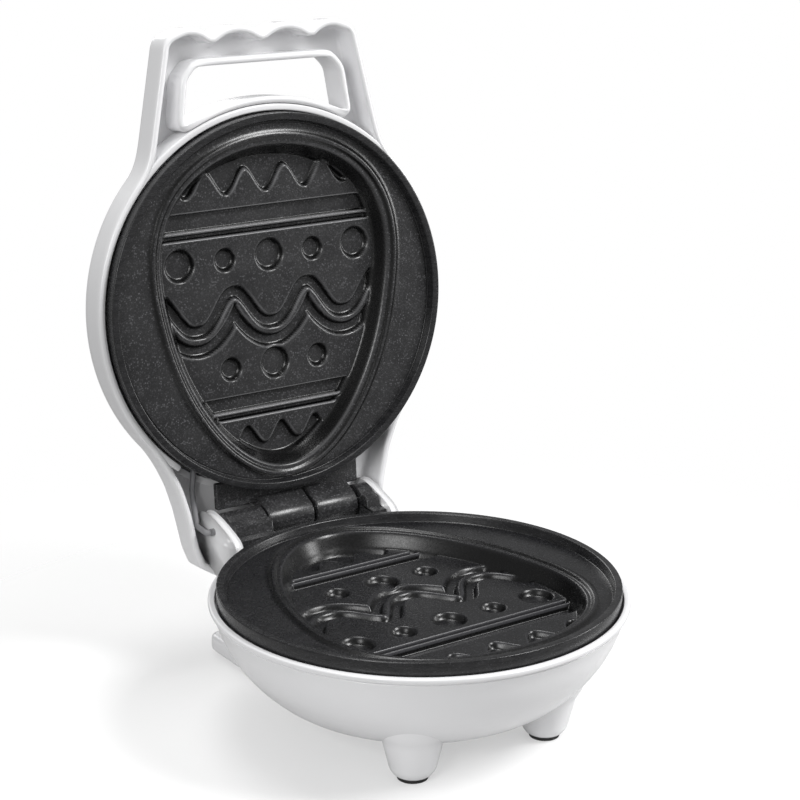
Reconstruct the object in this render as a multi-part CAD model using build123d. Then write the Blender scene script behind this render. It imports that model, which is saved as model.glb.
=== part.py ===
"""Mini waffle maker with an egg-shaped mould, built as an assembly: two hollow shells, two
cast plates whose knuckles make the hinge, and the heating and wiring parts between them.

Millimetres. X runs along the hinge to the right, +Y points to the hinge at the rear, Z = 0 is
the table. Everything is drawn about the plates' common axis, and the lid's pieces are drawn
shut. At the end they are turned open about the hinge, and all of it is moved along Y so that
the frame's origin is the middle of the outline on the table.
"""
from build123d import *
import math
import os

# overall sizes
plate_radius = 58.8
rim_height = 43.5
rim_gap = 0.4
plate_band = 3.7
shell_overhang = 2.5
shell_radius = plate_radius + shell_overhang
shell_wall = 2.2
open_angle = 94.5
seat_gap = 0.05
part_gap = 0.3

# heights
parting = rim_height + rim_gap / 2
base_rim = rim_height - plate_band
lid_rim = 2 * parting - base_rim
bowl_floor = 8.5
lid_crown = lid_rim + 20.4
handle_back = lid_rim + 10.8
handle_reach = 24.0
handle_valley = 3.0

# hinge
hinge_reach = 8.7
hinge_y = plate_radius + hinge_reach
hinge_z = parting
barrel_radius = 4.6
pin_radius = 1.6
pin_clearance = 0.05
left_lug = (-26.8, -13.2)
barrels = ((-12.3, 4.1), (5.3, 20.5))
right_lug = (21.7, 26.8)
cheek_inner = 27.4
cheek_outer = 30.0

# plate casting
rim_width = 2.2
land_depth = 2.6
plate_thickness = 3.0
bead_height = 0.8
mould_depth = 7.3
mould_wall = 2.6
relief_depth = 1.5
relief_draft = 4.3

# egg outline of the mould
land_margin = 5.8
egg_slimness = 0.783
egg_half_length = plate_radius - land_margin
egg_half_width = egg_slimness * egg_half_length
egg_middle = 1.3
egg_taper = 0.245
egg_fullness = 2.316

# rows of the relief, measured along Y
crest_pitch = 14.0
crest_low, crest_high = -34.7, -42.7
front_band = (-30.2, -24.6)
front_dot_row = -14.8
ribbon_pitch = 26.5
ribbon_middle, ribbon_swing = -0.9, 5.5
ribbon_width = 3.4
scallop_low, scallop_cusp = 14.5, 4.2
rear_dot_row = 19.5
rear_band = (28.4, 33.2)
rear_wave_low, rear_wave_high = 38.4, 44.6
large_dot, small_dot = 4.6, 3.2

# heating and fixing
post_inset = 16.3
post_ring = plate_radius - post_inset
element_inset = 8.5
element_radius = post_ring - element_inset
element_tube = 3.1
fixing_posts = ((0.0, -post_ring), (-post_ring * math.sin(math.pi / 4), post_ring * math.sin(math.pi / 4)),
                (post_ring * math.sin(math.pi / 4), post_ring * math.sin(math.pi / 4)))
post_radius = 3.2
screw_radius = 1.25
screw_head = 2.4
post_drop = 6.0
shield_margin = 4.0
shield_radius = post_ring + shield_margin
shield_sheet = 0.7
lead_radius = 1.1
lead_rise_x = -14.0
lead_rise_y = hinge_y - 7.5
thermostat_height = 10.05

# heights that follow under the lower mould
mould_under = rim_height - mould_depth - mould_wall
post_bottom = mould_under - post_drop
shield_top = mould_under - 2 * element_tube - 2 * seat_gap
boss_top = shield_top - shield_sheet - seat_gap

# stand
leg_inset = 23.0
leg_angle = math.radians(37.5)
leg_ring = shell_radius - leg_inset
leg_place = (leg_ring * math.sin(leg_angle), -leg_ring * math.cos(leg_angle))
leg_top, leg_foot = 9.4, 6.5
pad_height = 0.9
pad_inset = 0.5
stand_half_width = 28.0
stand_front = 30.0
stand_rear = hinge_y + 10.1
stand_top = 6.0
stand_pad_place = (20.0, stand_rear - 6.6)
column_rear = hinge_y - 2.1
column_half_width = 20.5
column_top = hinge_z - 15.7
well_floor = hinge_z - 8.3
gland_height = (stand_top + column_top) / 2


def cylinder(radius, start, direction, length):
    """A round bar from a start point along a direction."""
    plane = Plane(origin=start, z_dir=direction)
    return extrude(plane * Circle(radius), amount=length)


def upright(outline, low, high):
    """A flat outline pulled up between two heights."""
    return extrude(Plane.XY.offset(low) * outline, amount=high - low)


def turned(points):
    """A closed radius-height outline spun about the Z axis."""
    edge = Polyline([(radius, 0, height) for radius, height in points], close=True)
    return revolve(make_face(edge), Axis.Z, 360)


def bar(path_points, radius, bend):
    """A round wire laid along straight runs with equal bends between them."""
    path = FilletPolyline(*path_points, radius=bend)
    section = Plane(origin=path @ 0, z_dir=path % 0) * Circle(radius)
    return sweep(section, path=path)


def lug(x_span, radius):
    """A round piece lying on the hinge axis."""
    start = (x_span[0], hinge_y, hinge_z)
    return cylinder(radius, start, (1, 0, 0), x_span[1] - x_span[0])


def box(x_span, y_span, z_span):
    """A block between three pairs of limits."""
    sizes = [span[1] - span[0] for span in (x_span, y_span, z_span)]
    middle = [(span[0] + span[1]) / 2 for span in (x_span, y_span, z_span)]
    return Pos(*middle) * Box(*sizes)


def shut_mirror(shape):
    """The same shape on the other side of the parting plane."""
    return mirror(shape, about=Plane.XY.offset(parting))


def opened(shape):
    """A lid piece turned from shut to its open rest position."""
    return shape.rotate(Axis((0, hinge_y, hinge_z), (1, 0, 0)), -open_angle)


def egg(inset=0.0):
    """The egg outline, broad end to the front, drawn in by an inset."""
    width, length = egg_half_width - inset, egg_half_length - inset
    points = []
    for step in range(28):
        turn = 2 * math.pi * step / 28
        along = -math.cos(turn)
        side = math.sqrt(max(0.0, 1 - abs(along) ** egg_fullness)) * (1 - egg_taper * along)
        points.append((math.copysign(width * side, math.sin(turn)), egg_middle + length * along))
    return make_face(Spline(points, periodic=True))


def wave(x_limit, pitch, middle, swing):
    """Points of a level wave with a crest on the Y side of its sign at x = 0."""
    count = 4 * max(2, round(2 * x_limit / pitch))
    places = [-x_limit + 2 * x_limit * step / count for step in range(count + 1)]
    return [(x, middle + swing * math.cos(2 * math.pi * x / pitch)) for x in places]


def strip(lower, upper):
    """The area between two rows of points drawn as smooth lines."""
    ends = Line(lower[-1], upper[-1]) + Line(upper[0], lower[0])
    return make_face(Spline(lower) + Spline(upper) + ends)


def relief():
    """The decoration sunk into a mould floor, as one flat sketch."""
    crest_middle, crest_swing = (crest_low + crest_high) / 2, (crest_low - crest_high) / 2
    crest = wave(40, crest_pitch, crest_middle, crest_swing)
    front_end = [(-40, -60), (40, -60)]
    marks = [make_face(Spline(crest) + Polyline(crest[-1], front_end[1], front_end[0], crest[0]))]
    for low, high in (front_band, rear_band):
        marks.append(Pos(0, (low + high) / 2) * Rectangle(90, high - low))
    for step in range(-2, 3):
        radius = small_dot if step % 2 else large_dot
        marks.append(Pos(15.8 * step, front_dot_row) * Circle(radius))
    for step in range(-1, 2):
        radius = small_dot if step % 2 else large_dot
        marks.append(Pos(15.8 * step, rear_dot_row) * Circle(radius))
    edge = wave(2 * ribbon_pitch, ribbon_pitch, ribbon_middle, ribbon_swing)
    marks.append(strip(edge, [(x, y + ribbon_width) for x, y in edge]))
    for step in range(-2, 2):
        left, right = ribbon_pitch * (step + 0.5), ribbon_pitch * (step + 1.5)
        middle = (left + right) / 2
        outer = ThreePointArc((left, scallop_cusp), (middle, scallop_low), (right, scallop_cusp))
        rise = ribbon_width * 0.9
        inner = ThreePointArc(
            (right, scallop_cusp - rise), (middle, scallop_low - rise), (left, scallop_cusp - rise)
        )
        sides = Line(outer @ 1, inner @ 0) + Line(inner @ 1, outer @ 0)
        marks.append(make_face(outer + inner + sides))
    rear_middle, rear_swing = (rear_wave_low + rear_wave_high) / 2, (rear_wave_low - rear_wave_high) / 2
    rear = wave(24, 12.4, rear_middle, rear_swing)
    marks.append(make_face(Spline(rear) + Polyline(rear[-1], (24, 60), (-24, 60), rear[0])))
    total = Sketch() + marks
    return total & egg(relief_draft + 0.6)


def mould_plate():
    """One plate casting without its hinge parts, in the lower plate's position."""
    land = rim_height - land_depth
    floor = rim_height - mould_depth
    body = turned([
        (0, land - plate_thickness), (plate_radius - 1.4, land - plate_thickness),
        (plate_radius, land - plate_thickness + 1.4), (plate_radius, rim_height - 0.6),
        (plate_radius - 0.6, rim_height), (plate_radius - rim_width + 0.4, rim_height),
        (plate_radius - rim_width, rim_height - 0.4), (plate_radius - rim_width - 0.7, land),
        (0, land),
    ])
    cup = upright(egg(-mould_wall), floor - mould_wall, land)
    body += cup & cylinder(plate_radius - rim_width - 1, (0, 0, 0), (0, 0, 1), rim_height)
    body += upright(egg(-0.8), land - 0.1, land + bead_height)
    for x, y in fixing_posts:
        body += cylinder(post_radius, (x, y, post_bottom), (0, 0, 1), post_drop + 0.5)
    body -= upright(egg(0.8), land - 0.7, land + 2)
    low_face = Plane.XY.offset(floor) * egg(relief_draft)
    high_face = Plane.XY.offset(land - 0.69) * egg(2.2)
    body -= loft([low_face, high_face])
    body -= upright(relief(), floor - relief_depth, floor + 0.1)
    for x, y in fixing_posts:
        body -= cylinder(screw_radius + seat_gap, (x, y, post_bottom - 1), (0, 0, 1), post_drop + 1)
    return body


def element():
    """A tubular heater: an open ring under the mould whose two ends turn down at the rear."""
    height = mould_under - seat_gap - element_tube
    opening = 24
    first = math.radians(90 + opening)
    last = math.radians(90 - opening + 360)
    ring_path = CenterArc((0, 0, height), element_radius, 90 + opening, 360 - 2 * opening)
    ring = sweep(Plane(origin=ring_path @ 0, z_dir=ring_path % 0) * Circle(element_tube), path=ring_path)
    ends = Part()
    for angle, way in ((first, 1), (last, -1)):
        x, y = element_radius * math.cos(angle), element_radius * math.sin(angle)
        tangent = (way * math.sin(angle), -way * math.cos(angle), 0)
        ends += cylinder(element_tube, (x, y, height), tangent, 5)
        tip = (x + 5 * tangent[0], y + 5 * tangent[1], height)
        ends += cylinder(1.0, tip, tangent, 4)
    return ring + ends


def legs():
    """Two tapered front legs with rounded feet."""
    total = Part()
    for side in (-1, 1):
        profile = [(0, pad_height), (leg_foot - 1.6, pad_height), (leg_foot, pad_height + 1.8),
                   (leg_top, bowl_floor + 6), (0, bowl_floor + 6)]
        total += Pos(side * leg_place[0], leg_place[1]) * turned(profile)
    return total


# the bowl's side: how far inside the rim, and the share of the height from its floor to its lip
bowl_curve = ((31.3, 0), (22.7, 0.059), (17.4, 0.156), (11.7, 0.33), (6.8, 0.538), (3.6, 0.747),
              (1.9, 0.92), (0.9, 1))
lip_height = 2.5
bowl_height = base_rim - lip_height - bowl_floor
bowl_outside = [(shell_radius - inside, bowl_floor + share * bowl_height) for inside, share in bowl_curve]
bowl_lip = [(shell_radius - 0.8, base_rim - 2.3), (shell_radius - 1.0, base_rim - 2.0),
            (shell_radius - 0.3, base_rim - 1.6), (shell_radius, base_rim - 0.9),
            (shell_radius - 0.3, base_rim)]


def bowl_block(inset, top):
    """The bowl's body, full, drawn in by a wall."""
    steps = [(radius - inset, max(height, bowl_floor + inset)) for radius, height in bowl_outside]
    steps = [point for point in steps if point[1] < top - 0.5]
    if inset:
        return turned([(0, bowl_floor + inset)] + steps + [(steps[-1][0], top), (0, top)])
    return turned([(0, bowl_floor)] + steps + bowl_lip + [(0, base_rim)])


def tower_side():
    """The hinge tower seen from the side, as a Y-Z outline."""
    about_hinge = [(-19.5, -21.7), (-13.5, -3.7), (-12.3, -1.1), (-8.5, 0.7), (-1.5, 3.2), (4.0, 4.3),
                   (8.0, 3.5), (10.7, 0.9), (11.1, -2.7), (9.7, -6.9), (6.7, -10.1), (1.0, -12.3)]
    points = [(hinge_y + y, hinge_z + z) for y, z in about_hinge]
    return points + [(column_rear, column_top), (column_rear, stand_top), (hinge_y - 19.5, stand_top)]


def side_block(points, half_width):
    """A Y-Z outline pulled out to both sides."""
    face = make_face(Polyline([(0, y, z) for y, z in points], close=True))
    return extrude(face, amount=half_width, dir=(1, 0, 0), both=True)


def base_shell():
    """Bowl, front legs, rear stand and hinge tower in one moulding."""
    tower = side_block(tower_side(), cheek_outer)
    for side in (-1, 1):
        flank = sorted((side * column_half_width, side * (cheek_outer + 1)))
        tower -= box(flank, (hinge_y - 20.5, hinge_y + 22.5), (0, hinge_z - 13.7))
    stand_outline = Pos(0, (stand_front + stand_rear) / 2) * RectangleRounded(
        2 * stand_half_width, stand_rear - stand_front, 5)
    stand = upright(stand_outline, pad_height, stand_top)
    stand = fillet(stand.faces().sort_by(Axis.Z)[-1].edges(), 1.4)
    keel_top = column_top - 4
    keel = box((-column_half_width, column_half_width), (stand_front, column_rear), (stand_top - 1, keel_top))
    body = bowl_block(0, base_rim) + legs() + tower + stand + keel
    body -= bowl_block(shell_wall, lid_crown)
    well_front, well_rear = hinge_y - 17.5, hinge_y + 22.5
    well = side_block([(well_front, well_floor), (well_front, lid_crown), (well_rear, lid_crown),
                       (well_rear, hinge_z - 0.5), (hinge_y + 2.5, well_floor)], cheek_inner)
    guard_low = well_floor - 5
    body -= well - cylinder(shell_radius - 0.4, (0, 0, guard_low), (0, 0, 1), base_rim - guard_low)
    inner_front, inner_rear = hinge_y - 23.5, column_rear - shell_wall
    roof, sill = well_floor - 2, stand_top + 3
    cavity = [(inner_front, sill), (inner_front, roof), (hinge_y - 0.9, roof), (inner_rear, column_top),
              (inner_rear, sill)]
    body -= side_block(cavity, column_half_width - shell_wall)
    body -= cylinder(plate_radius + 0.4, (0, 0, base_rim - 2.3), (0, 0, 1), 30)
    bosses = Part()
    for x, y in fixing_posts:
        bosses += cylinder(4.4, (x, y, bowl_floor), (0, 0, 1), boss_top - bowl_floor)
    bosses += cylinder(3.4, (-9, -4, bowl_floor + 1), (0, 0, 1), 4.2)
    bosses += cylinder(3.4, (9, -4, bowl_floor + 1), (0, 0, 1), 4.2)
    body += bosses & bowl_block(0, base_rim)
    for x, y in fixing_posts:
        body -= cylinder(screw_head + 0.4, (x, y, 0), (0, 0, 1), boss_top - 2.4)
        body -= cylinder(screw_radius + 0.15, (x, y, 0), (0, 0, 1), 60)
    body -= cylinder(3.3, (0, hinge_y + 22.5, gland_height), (0, -1, 0), 30)
    body -= lug((-cheek_outer - 1, -cheek_inner + 1), lead_radius + 0.2)
    body -= cylinder(2 * lead_radius, (lead_rise_x, lead_rise_y, well_floor - 5.4), (0, 0, 1), 8)
    return body


# the dome's side: how far inside the rim, and how high above it
dome_curve = ((0.3, 0), (0, 0.5), (0, 8.5), (0.9, 11.6), (3.5, 14.8), (9.3, 17.6), (17.3, 19.2),
              (31.3, 20.1))
dome_side = [(shell_radius - inside, lid_rim + height) for inside, height in dome_curve]


def dome_block():
    """The lid's round dome, full."""
    return turned([(0, lid_rim)] + dome_side + [(0, lid_crown)])


def lid_shell():
    """Domed lid with its hollow handle, hand hole and the heel that hoods the hinge."""
    rim = lid_rim
    body = dome_block()
    body += soft_back(handle_outline) + soft_back(heel_outline)
    inner = [(radius - shell_wall, height - shell_wall) for radius, height in dome_side[3:]]
    inner_radius = shell_radius - shell_wall
    hollow = turned([(0, rim - 1), (inner_radius, rim - 1), (inner_radius, rim + 7.4)] + inner
                    + [(0, lid_crown - shell_wall)])
    ring = cylinder(shell_radius, (0, 0, rim - 2), (0, 0, 1), 40)
    channel = upright(handle_outline(shell_wall), rim - 1, handle_back - shell_wall)
    channel -= upright(hand_hole(-shell_wall), rim - 2, handle_back)
    pocket = upright(heel_outline(2.4), rim - 1, handle_back - shell_wall)
    body -= hollow
    body -= channel - ring
    body -= pocket - ring
    body -= upright(hand_hole(0), rim - 2, handle_back + 9)
    body -= box((-26.4, 26.4), (hinge_y - 17.5, hinge_y - 3.5), (rim - 1, rim + 2.7))
    body -= box((-33.2, -28.6), (hinge_y - 21.5, hinge_y - 7.5), (rim + 4, rim + 8.6))
    for side in (-1, 1):
        span = sorted((side * 27.6, side * 29.8))
        body += box(span, (hinge_y - 1.5, hinge_y + 7.5), (hinge_z + 11.5, handle_back - shell_wall + 0.3))
    seat = 2 * parting - boss_top
    for x, y in fixing_posts:
        body += cylinder(4.4, (x, y, seat), (0, 0, 1), lid_crown - seat - 2)
    for x, y in fixing_posts:
        body -= cylinder(screw_radius + 0.15, (x, y, seat - 1), (0, 0, 1), 30)
        body -= cylinder(screw_head + 0.4, (x, y, seat + 2.4), (0, 0, 1), 30)
    return body


def soft_back(outline):
    """A prism on an outline with the edges of its back face softened in two steps."""
    levels = ((2.2, 0), (0.7, 0.6), (0, 2.0))
    sections = [Plane.XY.offset(handle_back - drop) * outline(inset) for drop, inset in levels]
    block = upright(outline(0), lid_rim, handle_back - levels[0][0])
    return block + loft(sections[:2], ruled=True) + loft(sections[1:], ruled=True)


def handle_outline(inset):
    """Outline of the handle with three finger valleys on its outer edge, drawn in by an inset."""
    crest = -(shell_radius + handle_reach) + inset
    valley = crest + handle_valley
    near, corner_y, side_y = -(shell_radius - 18.3), crest + 2.9 - inset * 0.2, crest + 5.9 - inset * 0.3
    side_far, side_near = 34.2 - inset, 42.2 - inset
    half = ThreePointArc((0, valley), (8.7, crest), (17.4, valley))
    half += ThreePointArc((17.4, valley), (24.2, crest + 0.1), (29.5 - inset * 0.7, crest + 1.1))
    corner = (side_far - 1.3 + inset * 0.2, corner_y)
    half += ThreePointArc((29.5 - inset * 0.7, crest + 1.1), corner, (side_far, side_y))
    half += Line((side_far, side_y), (side_near, near))
    half += Line((side_near, near), (side_near, near + 5))
    half += Line((side_near, near + 5), (0, near + 5))
    edges = list(half.edges())
    other = [edge.mirror(Plane.YZ) for edge in edges]
    return make_face(edges + other)


def heel_outline(inset):
    """Outline of the hood behind the lid, narrowing towards the rear."""
    side = [(45.6 - inset, -26.5), (42.4 - inset, -21.0), (39.6 - inset, -14.5), (37.2 - inset, -5.5),
            (35.0 - inset, 6.5), (33.0 - inset, 12.1 - inset * 0.4), (28.0 - inset * 0.4, 15.7 - inset)]
    points = [(x, hinge_y + y) for x, y in [(30, -29.5)] + side]
    return make_face(Polyline([(-x, y) for x, y in points] + points[::-1], close=True))


def hand_hole(inset):
    """Outline of the hole for the fingers, its near side following the round lid."""
    reach = shell_radius + 2.3 + inset
    half = 28.6 - inset
    low = -math.sqrt(reach * reach - half * half)
    top = -(shell_radius + 12.7) + inset
    bend = -(shell_radius + 8.9)
    outline = ThreePointArc((-half, low), (0, -reach), (half, low))
    outline += Line((half, low), (half - 1.9, bend))
    outline += Line((half - 1.9, bend), (half - 5.4, top))
    outline += Line((half - 5.4, top), (5.4 - half, top))
    outline += Line((5.4 - half, top), (1.9 - half, bend))
    outline += Line((1.9 - half, bend), (-half, low))
    return make_face(outline)


def lower_plate():
    """The lower casting with its two lugs."""
    body = mould_plate()
    low = base_rim + part_gap
    for span in (left_lug, right_lug):
        body += box(span, (plate_radius - 4.8, plate_radius + 3.2), (low, rim_height - 0.2))
        body += box(span, (plate_radius + 0.6, hinge_y), (low, parting + 3.4))
        body += lug(span, barrel_radius)
    body += lug(left_lug, 5.4) & box((-30, -10), (hinge_y, hinge_y + 12), (hinge_z - 14, hinge_z + 16))
    body -= cylinder(plate_radius - rim_width - 0.7, (0, 0, rim_height - land_depth), (0, 0, 1), 10)
    body -= box((-24.4, -17.0), (hinge_y - 5, hinge_y - 3), (parting - 1, parting + 16))
    body -= lug((-21.5, 27), pin_radius + 0.01)
    body -= lug((-27, -22.0), lead_radius + 0.5)
    body -= box((-25.9, -21.9), (hinge_y, hinge_y + 12), (parting - 1.9, parting + 1.9))
    return body


def upper_plate():
    """The upper casting with its apron and two knuckles, shut."""
    body = shut_mirror(mould_plate())
    apron = box((-26, 26), (hinge_y - 17.5, hinge_y - 5.1), (lid_rim, lid_rim + 2.3))
    body += apron - cylinder(plate_radius - 8.8, (0, 0, 0), (0, 0, 1), lid_crown)
    for span in barrels:
        body += box(span, (hinge_y - 6.5, hinge_y), (parting + 1.2, lid_rim + 2.3))
        body += lug(span, barrel_radius)
        body -= lug((span[0] - 1, span[1] + 1), pin_radius + pin_clearance)
    land = parting + rim_gap / 2 + land_depth
    body -= cylinder(plate_radius - rim_width - 0.7, (0, 0, 0), (0, 0, 1), land)
    return body


def shield():
    """A shallow steel dish that holds the element up and turns its heat back."""
    low = shield_top - shield_sheet
    inner = shield_radius - shield_sheet
    body = turned([(0, low), (shield_radius, low), (shield_radius, low + 6), (inner, low + 6),
                   (inner, shield_top), (0, shield_top)])
    for x, y in fixing_posts:
        body -= cylinder(screw_radius + 0.2, (x, y, low - 1), (0, 0, 1), 4)
    for side in (-1, 1):
        body -= cylinder(2.2, (side * 8.0, element_radius - 1, low - 1), (0, 0, 1), 4)
    return body


def screw(x, y):
    """A pan-head screw that comes up through a base boss."""
    head_top = boss_top - 2.4
    body = cylinder(screw_head, (x, y, head_top - 1.8), (0, 0, 1), 1.75)
    body += cylinder(screw_radius, (x, y, head_top - 0.3), (0, 0, 1), 2.4 + 0.3 + shield_sheet + 4.6)
    return body - box((x - 2, x + 2), (y - 0.35, y + 0.35), (head_top - 2.5, head_top - 1.0))


def thermostat():
    """A round snap thermostat pressed against the mould through the shield."""
    place = (0, 8)
    low = mould_under - seat_gap - thermostat_height
    body = cylinder(6.8, (*place, low), (0, 0, 1), thermostat_height)
    body += cylinder(5.2, (*place, low - 1.5), (0, 0, 1), 2)
    for side in (-1, 1):
        body += box((side * 4 - 2, side * 4 + 2), (13, 17.5), (low + 0.5, low + 1.3))
    return body


def thermostat_bracket():
    """A bent strip that holds the thermostat up from the shield."""
    low = shield_top - shield_sheet - seat_gap
    under = mould_under - thermostat_height - 1.6
    body = box((-10, 10), (4, 12), (under - 0.75, under))
    for side in (-1, 1):
        body += box(sorted((side * 9.2, side * 10)), (4, 12), (under - 0.75, low))
        body += box(sorted((side * 9.2, side * 15)), (4, 12), (low - 0.75, low))
    return body


def gland():
    """A flanged rubber bush for the supply cord in the rear wall of the column."""
    outer, inner = column_rear + seat_gap, column_rear - shell_wall - seat_gap
    height = gland_height
    body = cylinder(3.25, (0, inner - 1.4, height), (0, 1, 0), outer - inner + 3.2)
    body += cylinder(4.6, (0, outer, height), (0, 1, 0), 1.8)
    body += cylinder(4.2, (0, inner, height), (0, -1, 0), 1.4)
    return body - cylinder(2.6, (0, outer + 12, height), (0, -1, 0), 40)


lead_rear = hinge_y + 8.1
base_lead_path = [
    (-11.5, 0.7, bowl_floor + 8.5), (-11.5, stand_front + 6, bowl_floor + 9.5),
    (lead_rise_x, lead_rise_y - 10, hinge_z - 21.7), (lead_rise_x, lead_rise_y, hinge_z - 14.7),
    (lead_rise_x, lead_rise_y, hinge_z - 7.0), (-18, hinge_y + 2.5, hinge_z - 6.9),
    (-24, lead_rear, hinge_z - 4.7), (-24, lead_rear, hinge_z), (-24, hinge_y, hinge_z),
    (-31.2, hinge_y, hinge_z),
]
shield_back = 2 * parting - shield_top + shield_sheet + 0.95
lid_lead_path = [
    (-31.3, hinge_y, hinge_z), (-32.5, hinge_y, hinge_z), (-32.5, hinge_y - 1, hinge_z + 6.3),
    (-31.4, hinge_y - 11.5, lid_rim + 6.2), (-30, hinge_y - 18, lid_rim + 6.6),
    (-28, hinge_y - 21, shield_back - 3.75), (-24, hinge_y - 25.5, shield_back),
    (-18, hinge_y - 31.5, shield_back),
]

base_parts = {
    "base_shell": base_shell(),
    "lower_plate": lower_plate(),
    "lower_element": element(),
    "lower_shield": shield() - cylinder(7.2, (0, 8, shield_top - 8), (0, 0, 1), 20),
    "thermostat": thermostat(),
    "thermostat_bracket": thermostat_bracket(),
    "thermal_fuse": cylinder(2.0, (-9, -16, boss_top - 2.05), (1, 0, 0), 18),
    "terminal_block": box((-13, 13), (-9, 0.6), (bowl_floor + 5.25, bowl_floor + 11.8)),
    "cord_gland": gland(),
    "hinge_pin": lug((-21.0, 26.6), pin_radius),
    "base_lead": bar(base_lead_path, lead_radius, 1.9),
}
for number, (x, y) in enumerate(fixing_posts, 1):
    base_parts["lower_screw_%d" % number] = screw(x, y)
for name, side in (("left", -1), ("right", 1)):
    place = (side * leg_place[0], leg_place[1], 0)
    pad_thickness = pad_height - 0.02
    base_parts["front_pad_" + name] = cylinder(leg_foot - 1.6 - pad_inset, place, (0, 0, 1), pad_thickness)
    place = (side * stand_pad_place[0], stand_pad_place[1], 0)
    base_parts["rear_pad_" + name] = cylinder(4.2, place, (0, 0, 1), pad_thickness)

lid_parts = {
    "lid_shell": lid_shell(),
    "upper_plate": upper_plate(),
    "upper_element": shut_mirror(element()),
    "upper_shield": shut_mirror(shield()),
    "lid_lead": bar(lid_lead_path, 0.9, 1.0),
}
for number, (x, y) in enumerate(fixing_posts, 1):
    lid_parts["upper_screw_%d" % number] = shut_mirror(screw(x, y))
    plug = cylinder(screw_head + 0.36, (x, y, lid_crown - 2.7), (0, 0, 1), 10)
    lid_parts["lid_plug_%d" % number] = plug & dome_block()

os.makedirs("parts", exist_ok=True)
pieces = dict(base_parts)
for name, shape in lid_parts.items():
    pieces[name] = opened(shape)
rear_reach = pieces["lid_shell"].bounding_box().max.Y
for name, shape in pieces.items():
    export_step(Pos(0, (shell_radius - rear_reach) / 2, 0) * shape, "parts/" + name + ".step")
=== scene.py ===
"""Looks of the mini waffle maker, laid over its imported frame."""
import bpy
import bmesh
import math
import numpy as np
from mathutils import Matrix


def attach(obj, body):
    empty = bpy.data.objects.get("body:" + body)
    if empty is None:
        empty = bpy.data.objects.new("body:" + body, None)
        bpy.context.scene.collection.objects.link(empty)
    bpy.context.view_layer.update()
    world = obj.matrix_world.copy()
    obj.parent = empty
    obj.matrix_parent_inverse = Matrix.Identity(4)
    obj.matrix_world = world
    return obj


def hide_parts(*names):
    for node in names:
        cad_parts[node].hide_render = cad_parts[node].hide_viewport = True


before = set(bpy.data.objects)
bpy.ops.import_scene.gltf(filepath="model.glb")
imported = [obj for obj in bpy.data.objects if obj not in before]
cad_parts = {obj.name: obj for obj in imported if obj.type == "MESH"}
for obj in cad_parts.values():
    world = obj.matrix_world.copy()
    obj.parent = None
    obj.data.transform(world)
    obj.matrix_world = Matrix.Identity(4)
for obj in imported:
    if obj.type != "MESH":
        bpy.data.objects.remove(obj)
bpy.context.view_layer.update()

# sizes in millimetres about the plates' common axis; the decoration is deeper than the solids'
PLATE_RADIUS = 58.8
RIM_HEIGHT = 43.5
PLATE_BAND = 3.7
PARTING = RIM_HEIGHT + 0.2
HINGE_Y, HINGE_Z = PLATE_RADIUS + 8.7, PARTING
OPEN_ANGLE = math.radians(94.5)
LAND_DEPTH = 2.6
RELIEF_DEPTH = 2.0
EGG_HALF_WIDTH, EGG_HALF_LENGTH, EGG_MIDDLE = 41.5, 53.0, 1.3
EGG_FULLNESS, EGG_TAPER = 2.316, 0.245
BARREL_RADIUS, LUG_RADIUS = 4.6, 5.2
BARRELS = ((-12.3, 4.1), (5.3, 20.5))
LUGS = (("left", -26.8, -13.2), ("right", 21.7, 26.8))
APRON_HALF_WIDTH = 26.0
SHELL_RADIUS = PLATE_RADIUS + 2.5
SHELL_WALL = 2.2
LID_RIM = 2 * PARTING - (RIM_HEIGHT - PLATE_BAND)
HANDLE_BACK = LID_RIM + 10.8
HOLE_MIDDLE = np.array([0.0, -70.5])
LEG_PLACE = (23.3, -30.4)
CHEEK_INNER, CHEEK_OUTER = 27.4, 30.0
WELL_HALF_WIDTH, COLUMN_HALF_WIDTH, KEEL_HALF_WIDTH = 28.6, 20.5, 19.6
PAD_TOP, STAND_TOP = 0.9, 6.0

# where the plates' axis lies along Y in the frame
MIDDLE_Y = -18.9713

# the bands across the egg, as (front, rear) places along Y, and the line beside each
BANDS = ((-30.2, -24.9), (28.4, 32.9))
LINE_GAP, LINE_END = 1.1, 2.6


# placing and meshes

def opened(points):
    """Turns points of the shut lid about the hinge to its open rest place."""
    out = points.copy()
    y, z = points[..., 1] - HINGE_Y, points[..., 2] - HINGE_Z
    c, s = math.cos(OPEN_ANGLE), math.sin(OPEN_ANGLE)
    out[..., 1] = HINGE_Y + y * c + z * s
    out[..., 2] = HINGE_Z - y * s + z * c
    return out


def mirrored(points):
    """Puts points of the lower plate on the other side of the parting plane."""
    out = points.copy()
    out[..., 2] = 2 * PARTING - points[..., 2]
    return out


def new_piece(name, points, faces, material, body, sharp=None):
    """Makes a piece from millimetre points, with its place in its mesh."""
    place = np.asarray(points, float).reshape(-1, 3) + np.array([0, MIDDLE_Y, 0])
    mesh = bpy.data.meshes.new(name)
    mesh.from_pydata((place / 1000).tolist(), [], [list(map(int, face)) for face in faces])
    mesh.validate()
    mesh.update()
    mesh.polygons.foreach_set("use_smooth", [True] * len(mesh.polygons))
    if sharp is not None:
        mesh.set_sharp_from_angle(angle=math.radians(sharp))
    piece = bpy.data.objects.new(name, mesh)
    bpy.context.scene.collection.objects.link(piece)
    mesh.materials.append(material)
    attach(piece, body)
    return piece


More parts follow.
